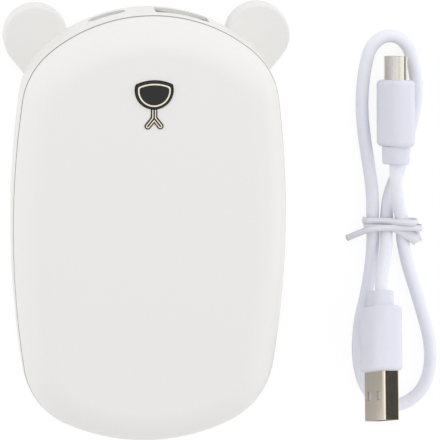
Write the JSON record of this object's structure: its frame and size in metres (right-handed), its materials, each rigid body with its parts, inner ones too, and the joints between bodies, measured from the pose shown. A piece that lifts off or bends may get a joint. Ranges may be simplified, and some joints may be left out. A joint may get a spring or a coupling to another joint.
{
  "type": "rechargeable hand warmer",
  "caption": "Palm-sized rechargeable hand warmer with a rounded shell, two round ears, a nose power button and charging ports, with its tied charging cable.",
  "frame": {"origin": "on the surface that the back rests on, under the middle of the warmer's outline with its ears", "axes": "+X across the warmer towards its cable, +Y along it towards the ears, +Z out of the front face"},
  "size_m": [0.1123, 0.1098, 0.0275],
  "materials": {
    "shell_plastic": "fine satin moulding",
    "nose_plastic": "gloss black",
    "gold_inlay": "polished pale gold",
    "cell_wrap": "shrink sleeve",
    "nickel": "plain nickel strip",
    "heat_plate": "plain sheet",
    "heater_film": "amber film",
    "foam": "closed cell foam",
    "board": "solder mask",
    "screw_steel": "zinc plated",
    "switch_plastic": "moulded",
    "chip": "moulded",
    "capacitor_can": "plain can",
    "lamp": "clear",
    "port_steel": "nickel plated",
    "port_plastic": "moulded",
    "contact_metal": "gold plated",
    "lead_wire": "silicone insulation",
    "cable_plastic": "satin white jacket",
    "plug_steel": "nickel plated",
    "plug_core": "moulded",
    "tie_plastic": "thin plastic sleeve"
  },
  "bodies": {
    "housing": {"rear_housing": "shell_plastic", "front_cover": "shell_plastic", "mouth_badge": "nose_plastic", "mouth_line": "gold_inlay", "battery_cell_left": "cell_wrap", "battery_cell_right": "cell_wrap", "lower_cell_strip": "nickel", "upper_cell_strip": "nickel", "front_heat_plate": "heat_plate", "rear_heat_plate": "heat_plate", "front_heater_film": "heater_film", "rear_heater_film": "heater_film", "front_foam_pad": "foam", "rear_foam_pad": "foam", "main_board": "board", "board_screws": "screw_steel", "switch_body": "switch_plastic", "controller_chip": "chip", "inductor": "chip", "capacitors": "capacitor_can", "status_leds": "lamp", "thermistor": "lamp", "usb_a_port_shell": "port_steel", "usb_c_port_shell": "port_steel", "usb_a_port_core": "port_plastic", "usb_c_port_core": "port_plastic", "usb_a_port_contacts": "contact_metal", "usb_a_plug_contacts": "contact_metal", "battery_leads": "lead_wire", "front_heater_leads": "lead_wire", "rear_heater_leads": "lead_wire", "usb_a_plug_grip": "cable_plastic", "usb_c_plug_grip": "cable_plastic", "charging_cord": "cable_plastic", "usb_a_plug_shell": "plug_steel", "usb_c_plug_shell": "plug_steel", "usb_a_plug_tongue": "plug_core", "usb_c_plug_core": "plug_core", "twist_tie": "tie_plastic"},
    "power_button": {"nose_button": "nose_plastic", "nose_line": "gold_inlay", "switch_plunger": "switch_plastic"}
  },
  "joints": [
    {"name": "power_button_press", "type": "slide", "parent": "housing", "child": "power_button", "axis": [0, 0, -1], "range_m": [0, 0.0004], "stiffness_N_per_m": 450, "springref_m": -0.0002}
  ]
}
